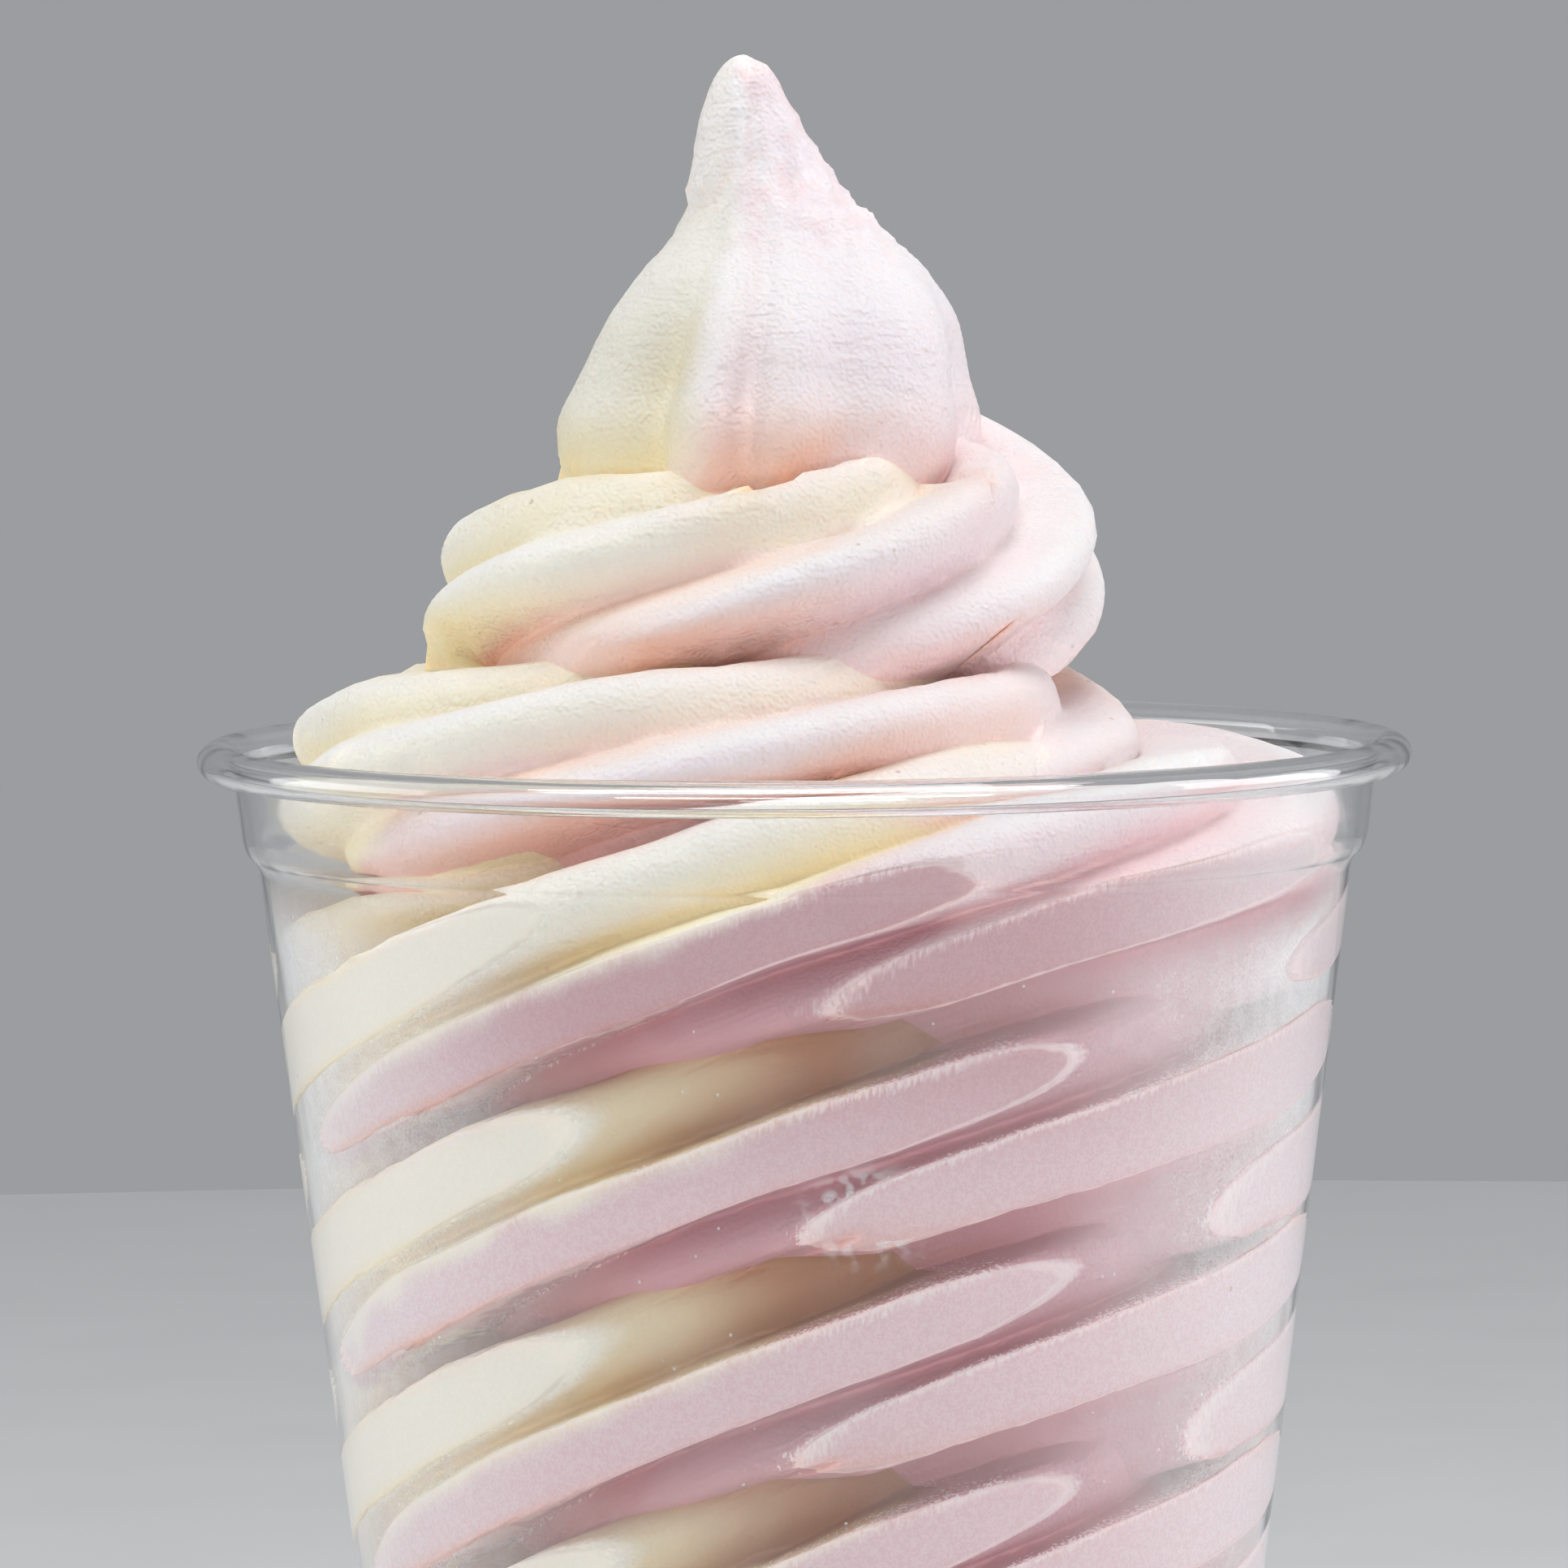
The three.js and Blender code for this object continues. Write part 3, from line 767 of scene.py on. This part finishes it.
def mottle(tree, coordinates, size, detail=1.0):
    """Even noise from 0 to 1 with patches of that size in millimetres."""
    inputs = {"Vector": coordinates, "Scale": 1 / (size * MM), "Detail": detail}
    return place(tree, "ShaderNodeTexNoise", inputs).outputs["Fac"]


def stretched(tree, coordinates, scale):
    return place(tree, "ShaderNodeMapping", {"Vector": coordinates, "Scale": scale}).outputs["Vector"]


def frost_grain_group():
    """Fine ice grain: a height for relief and a mask of single specks."""
    group = bpy.data.node_groups.new("frost_grain", "ShaderNodeTree")
    for name, kind in (("Coordinates", "NodeSocketVector"), ("Fine Size", "NodeSocketFloat"),
                       ("Coarse Size", "NodeSocketFloat"), ("Speck Share", "NodeSocketFloat")):
        group.interface.new_socket(name, in_out="INPUT", socket_type=kind)
    for name in ("Height", "Specks"):
        group.interface.new_socket(name, in_out="OUTPUT", socket_type="NodeSocketFloat")
    given = group.nodes.new("NodeGroupInput").outputs
    result = group.nodes.new("NodeGroupOutput")

    def grain(size, detail):
        scale = work(group, "DIVIDE", 1 / MM, size)
        inputs = {"Vector": given["Coordinates"], "Scale": scale, "Detail": detail}
        return place(group, "ShaderNodeTexNoise", inputs).outputs["Fac"]

    fine = grain(given["Fine Size"], 0.0)
    coarse = grain(given["Coarse Size"], 1.0)
    height = total(group, product(group, fine, 0.55), product(group, coarse, 0.45))
    cell_scale = work(group, "DIVIDE", 0.25 / MM, given["Fine Size"])
    cells = place(group, "ShaderNodeTexVoronoi", {"Vector": given["Coordinates"], "Scale": cell_scale})
    chance = place(group, "ShaderNodeSeparateColor", {"Color": cells.outputs["Color"]}).outputs["Red"]
    chosen = work(group, "LESS_THAN", chance, given["Speck Share"])
    near = ease(group, cells.outputs["Distance"], 0.12, 0.2, 1.0, 0.0)
    group.links.new(height, result.inputs["Height"])
    group.links.new(product(group, chosen, near), result.inputs["Specks"])
    return group


def grained(tree, group, coordinates, fine, coarse, specks):
    """Height and specks of the frost grain, from its two sizes in millimetres and the share of specks."""
    inputs = {"Coordinates": coordinates, "Fine Size": fine, "Coarse Size": coarse, "Speck Share": specks}
    node = place(tree, "ShaderNodeGroup", inputs, node_tree=group)
    return node.outputs["Height"], node.outputs["Specks"]


def new_finish(name):
    finish = bpy.data.materials.new(name)
    finish.use_nodes = True
    tree = finish.node_tree
    return finish, tree, tree.nodes["Principled BSDF"]


# Colours, linear
PINK_LOW = (0.90, 0.74, 0.77, 1)
PINK_FREE = (0.91, 0.83, 0.865, 1)
PINK_PALE_AND_LIT = (0.93, 0.90, 0.90, 1)
CREAM_FREE = (0.95, 0.93, 0.83, 1)
CREAM_DOME_SHADED = (0.79, 0.76, 0.64, 1)
CREAM_TIP = (0.90, 0.865, 0.83, 1)
PINK_RECESS_SHADE = (0.62, 0.345, 0.39, 1)
CREAM_SHADE = (0.79, 0.67, 0.44, 1)
CREAM_RECESS_SHADE = (0.42, 0.19, 0.07, 1)
PINK_PAD_SHADED = (0.63, 0.41, 0.44, 1)
PINK_PAD_LOW = (0.82, 0.64, 0.67, 1)
PAD_SIDE_LIT = (0.90, 0.84, 0.87, 1)
CREAM_PAD = (0.95, 0.92, 0.815, 1)
# Painted bounce light and shade: colours that deepen and warm the skin where the turns close each other off
CREAM_BOUNCE = (0.99, 0.90, 0.66, 1)
PEACH_BOUNCE = (0.99, 0.69, 0.54, 1)
PINK_BOUNCE = (0.98, 0.85, 0.85, 1)
BOUNCES = 2.3
PINK_EDGE = (0.92, 0.80, 0.79, 1)
CREAM_EDGE = (0.92, 0.90, 0.84, 1)
RIME = (0.95, 0.895, 0.89, 1)
PAINTED_HIGHLIGHT = (0.95, 0.94, 0.935, 1)
SPECK_TINT = (0.55, 0.36, 0.27, 1)
CLEAR = (0.985, 0.99, 0.992, 1)
FROST_WHITE = (0.93, 0.935, 0.935, 1)
FLOOR_PATCHES = ((0.76, 0.765, 0.77, 1), (0.82, 0.82, 0.825, 1))
BACKDROP = (0.55, 0.56, 0.58, 1)
BACKDROP_STRENGTH = 0.6

# Border between the flavours and the paler band beside it, in degrees round the nozzle
BORDER = (-8, 9)
BORDER_WAVER = 22
PALE_BAND = (-48, -6)

# Depths of the recesses over which painted shade deepens their colours, in millimetres
PINK_RECESS = (0, 0.25)
CREAM_RECESS = (0, 1.0)
CREAM_RECESS_DEEP = (0.8, 4.5)

# Heights over which the finishes change, in millimetres
LOW_PINK_ENDS = (112, 121)
PALE_BAND_GROWS = (118, 142)
RIGHT_LIT_GROWS = (114, 121)
TORN_GROWS = (TORN_FROM, TORN_FROM + TORN_FADE)
DOME_SHADE_BEGINS = (138, 150)
TIP_BEGINS = (155, 166)
HIGHLIGHT_BEGINS = (110, 118)
HIGHLIGHT_ENDS = (154, 164)
PAD_SHADE_GROWS = (84, 102)
PAD_SOFTENS = (94, 106)
FROST_ENDS = (FROST_TOP - 7, FROST_TOP)

# Distances sideways over which they change, and one towards the back
RIGHT_LIT = (8, 28)
PAD_SIDE_LIGHT = (16, 40)
FROST_SIDES = (14, 42)
FROST_EDGES = (34, 43)
RIGHT_LIT_BACK = (-4, 12)

# Sizes of the patches of noise, in millimetres
BORDER_PATCH = 7.0
TORN_PATCH = 2.4
STREAK = 0.3
RAGGED_PATCH = 1.2
WRINKLE = 0.6
DRAGGED_PATCH = 8
FROST_PATCH = 16
SMEAR_PATCH = 1.3
FLOOR_PATCH = 30

# Strengths of single touches
RIB_SHADE_STRENGTH = 0.55
PAD_LINE_STRENGTH = 0.65
SPECK_STRENGTH = 0.5
SIDE_FROST = 0.36
PATCH_FROST = 0.05
EDGE_FROST = 0.4
EVEN_FROST = 0.02
SMEAR_FROST = 0.34
DROPLET_FROST = 0.25


def free_skin_colour(tree, here, spot, edge, cream, recess):
    """Colour of the free skin: pale beside the border, painted light on the right, painted shade low down,
    on the dome and deep in recesses, and a painted highlight white on top.
    """
    up = spot["Z"]
    band = product(tree, ease(tree, edge, *PALE_BAND), ramp(tree, up, PALE_BAND_GROWS, 0.2, 0.9))
    # Painted light: the pink pales on the right, at the front and above the collar
    right = product(
        tree,
        ramp(tree, spot["X"], RIGHT_LIT, 0.0, 0.9),
        ramp(tree, up, RIGHT_LIT_GROWS),
        ramp(tree, spot["Y"], RIGHT_LIT_BACK, 1.0, 0.0),
    )
    torn_patches = ease(tree, mottle(tree, here, TORN_PATCH), 0.42, 0.7, 0.0, 0.7)
    torn = product(tree, ramp(tree, up, TORN_GROWS), torn_patches)
    rib = product(tree, measure(tree, "rib_shade"), RIB_SHADE_STRENGTH)
    # Painted shade: the pink is deeper low down, where the collar and rim shade it
    pink = tint(tree, ramp(tree, up, LOW_PINK_ENDS), PINK_LOW, PINK_FREE)
    # The pale band beside the border, and the painted light on the right
    pink = tint(tree, work(tree, "MAXIMUM", band, right), pink, PINK_PALE_AND_LIT)
    pink = tint(tree, torn, pink, PINK_LOW)
    pink = tint(tree, rib, pink, PINK_LOW)
    # Painted shade deepens the pink in recesses
    pink = tint(tree, ease(tree, recess, *PINK_RECESS), pink, PINK_RECESS_SHADE)
    # Painted shade: the cream darkens on the dome, and lightens again at the tip
    creamy = tint(tree, ramp(tree, up, DOME_SHADE_BEGINS), CREAM_FREE, CREAM_DOME_SHADED)
    creamy = tint(tree, ramp(tree, up, TIP_BEGINS), creamy, CREAM_TIP)
    # Painted shade deepens the cream in recesses
    creamy = tint(tree, ease(tree, recess, *CREAM_RECESS), creamy, CREAM_SHADE)
    creamy = tint(tree, ease(tree, recess, *CREAM_RECESS_DEEP), creamy, CREAM_RECESS_SHADE)
    # Painted highlight: faces that look up are whitened, from above the collar to below the tip
    painted_highlight = product(
        tree,
        ease(tree, measure(tree, "upward"), 0.2, 0.9, 0.0, 0.7),
        ramp(tree, up, HIGHLIGHT_BEGINS),
        ramp(tree, up, HIGHLIGHT_ENDS, 1.0, 0.1),
    )
    return tint(tree, painted_highlight, tint(tree, cream, pink, creamy), PAINTED_HIGHLIGHT)


def pad_colour(tree, spot, cream, pinkness, grain):
    """Colour of the pads pressed on the wall, finely mottled where they are pink, with painted shade above
    and painted light at the sides.
    """
    # Painted shade: the pink pads darken upwards, under the collar and rim
    pink = tint(tree, ramp(tree, spot["Z"], PAD_SHADE_GROWS), PINK_PAD_LOW, PINK_PAD_SHADED)
    # Painted light: the pink pads pale towards the sides, where the side lamps reach them
    aside = ramp(tree, work(tree, "ABSOLUTE", spot["X"]), PAD_SIDE_LIGHT, 0.0, 0.6)
    pad = tint(tree, cream, tint(tree, aside, pink, PAD_SIDE_LIT), CREAM_PAD)
    red = ease(tree, grain, 0.35, 0.65, 0.97, 1.02)
    other = ease(tree, grain, 0.35, 0.65, 0.93, 1.05)
    channels = {"Red": red, "Green": other, "Blue": other}
    shade = place(tree, "ShaderNodeCombineColor", channels).outputs["Color"]
    return tint(tree, pinkness, pad, tint(tree, 1.0, pad, shade, "MULTIPLY"))


def with_painted_bounce(tree, colour, cream):
    """The colour made deeper and warmer by painted bounce light and shade, where light would go to and fro
    between turns.
    """
    near_cream = tint(tree, cream, PEACH_BOUNCE, CREAM_BOUNCE)
    for bounce, name in ((near_cream, "cream_shelter"), (PINK_BOUNCE, "pink_shelter")):
        bounces = product(tree, measure(tree, name), BOUNCES)
        glow = place(tree, "ShaderNodeGamma", {"Color": bounce, "Gamma": bounces}).outputs["Color"]
        colour = tint(tree, 1.0, colour, glow, "MULTIPLY")
    return colour


def soft_serve_finish(frost_grain):
    """Frosty skin in two flavours, with flattened pads where it is pressed on the wall."""
    finish, tree, skin = new_finish("soft_serve_skin")
    here = place(tree, "ShaderNodeTexCoord").outputs["Object"]
    spot = place(tree, "ShaderNodeSeparateXYZ", {"Vector": here}).outputs
    height, specks = grained(tree, frost_grain, here, 0.36, 1.2, 0.012)
    pad_grain, _ = grained(tree, frost_grain, here, 0.22, 0.5, 0.0)
    press = measure(tree, "press")
    recess = measure(tree, "recess")

    # Flavours, with a wavering border
    waver = swing(tree, mottle(tree, here, BORDER_PATCH), 0.5, BORDER_WAVER)
    edge = total(tree, measure(tree, "cream_edge"), waver)
    cream = ease(tree, edge, *BORDER)
    pinkness = ease(tree, cream, 0, 1, 1.0, 0.3)

    # Pads pressed on the wall: a frayed upper edge, a crisp lower one, both with a pale line
    upper = ease(tree, measure(tree, "upper_flank"), 0.0, 0.7)
    streaks = mottle(tree, stretched(tree, here, (1, 1, 0.25)), STREAK)
    fray = product(tree, swing(tree, streaks, 0.47, 3.0), upper)
    ragged = swing(tree, mottle(tree, here, RAGGED_PATCH, 0.0), 0.5, 0.25)
    frayed = total(tree, press, ragged, fray)
    high = ramp(tree, spot["Z"], PAD_SOFTENS)
    soft = product(tree, upper, ease(tree, high, 0, 1, 0.12, 1.3))
    on_wall = ease(tree, frayed, work(tree, "SUBTRACT", -0.04, soft), total(tree, 0.1, soft))
    line = product(tree, on_wall, pinkness, ease(tree, frayed, 0.08, 0.28, 1.0, 0.0), PAD_LINE_STRENGTH)
    rime = product(tree, on_wall, upper, ease(tree, frayed, 0.1, 1.4, 0.6, 0.0))
    rime = product(tree, rime, ease(tree, high, 0, 1, 1.0, 0.3))

    # Colour
    free = free_skin_colour(tree, here, spot, edge, cream, recess)
    colour = tint(tree, on_wall, free, pad_colour(tree, spot, cream, pinkness, pad_grain))
    colour = tint(tree, line, colour, tint(tree, cream, PINK_EDGE, CREAM_EDGE))
    colour = tint(tree, product(tree, specks, SPECK_STRENGTH), colour, SPECK_TINT)
    # Painted bounce light and shade between the turns, with the rime laid over it
    colour = tint(tree, rime, with_painted_bounce(tree, colour, cream), RIME)
    tree.links.new(colour, skin.inputs["Base Color"])

    # Frosty grain and drag wrinkles, fading where the skin is pressed flat
    bare = product(tree, ease(tree, press, -0.3, 0.1, 1.0, 0.0), ease(tree, recess, 0.2, 1.5, 1.0, 0.25))
    wrinkles = mottle(tree, stretched(tree, here, (0.22, 0.22, 1)), WRINKLE)
    drag = ease(tree, mottle(tree, here, DRAGGED_PATCH, 0.0), 0.45, 0.6, 0.0, 0.65)
    grain = product(tree, total(tree, height, product(tree, wrinkles, drag)), bare)
    bump = place(tree, "ShaderNodeBump", {"Height": grain, "Strength": 0.75, "Distance": 0.5 * MM})
    tree.links.new(bump.outputs["Normal"], skin.inputs["Normal"])
    tree.links.new(ease(tree, height, 0.35, 0.7, 0.5, 0.68), skin.inputs["Roughness"])
    skin.subsurface_method = "BURLEY"
    skin.inputs["Subsurface Weight"].default_value = 0.7
    skin.inputs["Subsurface Radius"].default_value = (1.0, 0.5, 0.32)
    skin.inputs["Subsurface Scale"].default_value = 1.2 * MM
    skin.inputs["Specular IOR Level"].default_value = 0.3
    return finish


def clear_plastic_finish(frost_grain):
    """Clear glossy sheet with slight forming waves."""
    finish, tree, sheet = new_finish("clear_plastic")
    here = place(tree, "ShaderNodeTexCoord").outputs["Object"]
    waves, _ = grained(tree, frost_grain, stretched(tree, here, (1, 1, 0.4)), 4.0, 14.0, 0.0)
    sheet.inputs["Base Color"].default_value = CLEAR
    sheet.inputs["Transmission Weight"].default_value = 1.0
    sheet.inputs["IOR"].default_value = 1.5
    tree.links.new(ease(tree, waves, 0.3, 0.75, 0.02, 0.06), sheet.inputs["Roughness"])
    bump = place(tree, "ShaderNodeBump", {"Height": waves, "Strength": 0.12, "Distance": 0.25 * MM})
    tree.links.new(bump.outputs["Normal"], sheet.inputs["Normal"])
    return finish


def wall_frost_finish(frost_grain):
    """Thin milky breath of frost, thicker round the sides, with patches and droplets."""
    finish, tree, frost = new_finish("wall_frost")
    here = place(tree, "ShaderNodeTexCoord").outputs["Object"]
    spot = place(tree, "ShaderNodeSeparateXYZ", {"Vector": here}).outputs
    grain, droplets = grained(tree, frost_grain, here, 0.22, 1.6, 0.05)
    aside = work(tree, "ABSOLUTE", spot["X"])
    sides = product(tree, ramp(tree, aside, FROST_SIDES), SIDE_FROST)
    patches = product(tree, ease(tree, mottle(tree, here, FROST_PATCH), 0.42, 0.66), PATCH_FROST)
    edges = ramp(tree, aside, FROST_EDGES, 0.0, EDGE_FROST)
    breath = total(tree, sides, patches, edges, EVEN_FROST)
    breath = product(tree, breath, ramp(tree, spot["Z"], FROST_ENDS, 1.0, 0.0))

    # Smear: a broken patch round its centre
    centred = {0: here, 1: Vector(SMEAR_CENTRE) * MM}
    offset = place(tree, "ShaderNodeVectorMath", centred, operation="SUBTRACT").outputs[0]
    scaled = {0: offset, 1: Vector(SMEAR_SIZE) * MM}
    reach = place(tree, "ShaderNodeVectorMath", scaled, operation="DIVIDE").outputs[0]
    far = place(tree, "ShaderNodeVectorMath", {0: reach}, operation="LENGTH").outputs["Value"]
    broken = ease(tree, mottle(tree, here, SMEAR_PATCH), 0.45, 0.6)
    smear = product(tree, ease(tree, far, 0.3, 1.0, 1.0, 0.0), broken, SMEAR_FROST)

    wet = total(tree, breath, smear, product(tree, droplets, DROPLET_FROST))
    wet = work(tree, "MULTIPLY", wet, ease(tree, grain, 0.3, 0.7, 0.8, 1.2), limit=True)
    frost.inputs["Base Color"].default_value = FROST_WHITE
    tree.links.new(ease(tree, grain, 0.3, 0.7, 0.75, 0.95), frost.inputs["Roughness"])
    tree.links.new(wet, frost.inputs["Alpha"])
    return finish


def add_light(name, spot, size, watts, aim):
    lamp = bpy.data.lights.new(name, "AREA")
    lamp.shape = "RECTANGLE"
    lamp.size, lamp.size_y = (side * MM for side in size)
    lamp.energy = watts
    light = bpy.data.objects.new(name, lamp)
    light.location = Vector(spot) * MM
    light.rotation_euler = (Vector(aim) - Vector(spot)).to_track_quat("-Z", "Y").to_euler()
    bpy.context.scene.collection.objects.link(light)
    return light


def add_camera():
    """A camera at the photograph's viewing angle that has the rim's centre where the photograph has it."""
    right, down = ((PHOTO_SIZE / 2 - pixel) / PIXELS_PER_MM for pixel in RIM_PIXEL)
    x = right + math.tan(CAMERA_ROLL) * down
    z = RIM_CENTRE_HEIGHT - down / math.cos(CAMERA_ELEVATION)
    back = Vector((0, -math.cos(CAMERA_ELEVATION), math.sin(CAMERA_ELEVATION)))
    lens = bpy.data.cameras.new("camera")
    lens.sensor_width = SENSOR_WIDTH
    lens.lens = SENSOR_WIDTH * PIXELS_PER_MM * CAMERA_DISTANCE / PHOTO_SIZE
    lens.clip_start = 0.01
    camera = bpy.data.objects.new("camera", lens)
    turn = (-back).to_track_quat("-Z", "Y").to_matrix().to_4x4()
    spot = Matrix.Translation((Vector((x, 0, z)) + back * CAMERA_DISTANCE) * MM)
    camera.matrix_world = spot @ turn @ Matrix.Rotation(CAMERA_ROLL, 4, "Z")
    bpy.context.scene.collection.objects.link(camera)
    bpy.context.scene.camera = camera


def add_stage():
    """A plain round pale floor under the cup, and a plain backdrop of even light."""
    angle = 2 * math.pi * np.arange(FLOOR_SEGMENTS) / FLOOR_SEGMENTS
    rim = FLOOR_RADIUS * np.stack([np.cos(angle), np.sin(angle), np.zeros(FLOOR_SEGMENTS)], 1)
    floor = make_piece("floor", rim, [list(range(FLOOR_SEGMENTS))])
    finish, tree, top = new_finish("pale_floor")
    here = place(tree, "ShaderNodeTexCoord").outputs["Object"]
    tree.links.new(tint(tree, mottle(tree, here, FLOOR_PATCH), *FLOOR_PATCHES), top.inputs["Base Color"])
    top.inputs["Roughness"].default_value = 0.7
    floor.data.materials.append(finish)
    world = bpy.data.worlds.new("backdrop")
    world.use_nodes = True
    light = world.node_tree.nodes["Background"].inputs
    light["Color"].default_value = BACKDROP
    light["Strength"].default_value = BACKDROP_STRENGTH
    bpy.context.scene.world = world


# Pieces
frost_grain = frost_grain_group()

soft_serve = make_piece("soft_serve_twist", *serve_surface())
soft_serve.data.materials.append(soft_serve_finish(frost_grain))
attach(soft_serve, "root")
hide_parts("soft_serve")

outside, inside = sheet_faces(cup_middle_line())
cup = make_piece("clear_cup", *turned(np.concatenate([outside, inside[::-1]]), CUP_SEGMENTS))
cup.data.materials.append(clear_plastic_finish(frost_grain))
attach(cup, "root")
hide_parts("cup")

frost = make_piece("wall_frost", *frost_film())
frost.data.materials.append(wall_frost_finish(frost_grain))
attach(frost, "root")

# Light reaches the soft serve as if the clear sheet and its frost were not there
for clear_piece in (cup, frost):
    clear_piece.visible_shadow = False
    clear_piece.visible_diffuse = False

# Stage, light and camera
add_stage()
for light in LIGHTS:
    add_light(*light)
mirrored = bpy.data.collections.new("mirrored_in_cup")
mirrored.objects.link(cup)
for strip in STRIPS:
    add_light(*strip).light_linking.receiver_collection = mirrored
add_camera()
bpy.context.scene.view_settings.view_transform = "Standard"

# Short light paths keep the render within its time
light_paths = bpy.context.scene.cycles
light_paths.max_bounces = 8
light_paths.diffuse_bounces = 3
light_paths.glossy_bounces = 3
light_paths.transmission_bounces = 8
light_paths.caustics_reflective = False
light_paths.caustics_refractive = False
light_paths.use_light_tree = False
